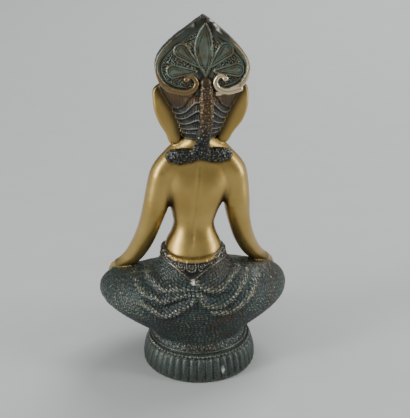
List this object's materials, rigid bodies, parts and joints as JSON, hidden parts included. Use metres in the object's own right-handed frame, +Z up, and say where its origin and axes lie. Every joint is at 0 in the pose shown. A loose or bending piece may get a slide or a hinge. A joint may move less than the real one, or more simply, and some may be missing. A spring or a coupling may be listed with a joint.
{
  "type": "seated buddha statue",
  "caption": "Small cross-legged seated figure with a leaf-shaped crown on a round fluted base, cast in one piece to stand on a shelf.",
  "frame": {"origin": "middle of the flat underside of the round base", "axes": "+Z up through the figure; the figure faces -Y, its back and the decorated side of the crown are towards +Y"},
  "size_m": [0.1616, 0.1172, 0.3045],
  "materials": {
    "painted_resin": "cast resin painted satin gold on the skin and dark verdigris bronze with dry-brushed highlights on the cloth, hair, crown and base"
  },
  "bodies": {
    "root": {"seated_figure": "painted_resin"}
  },
  "joints": []
}
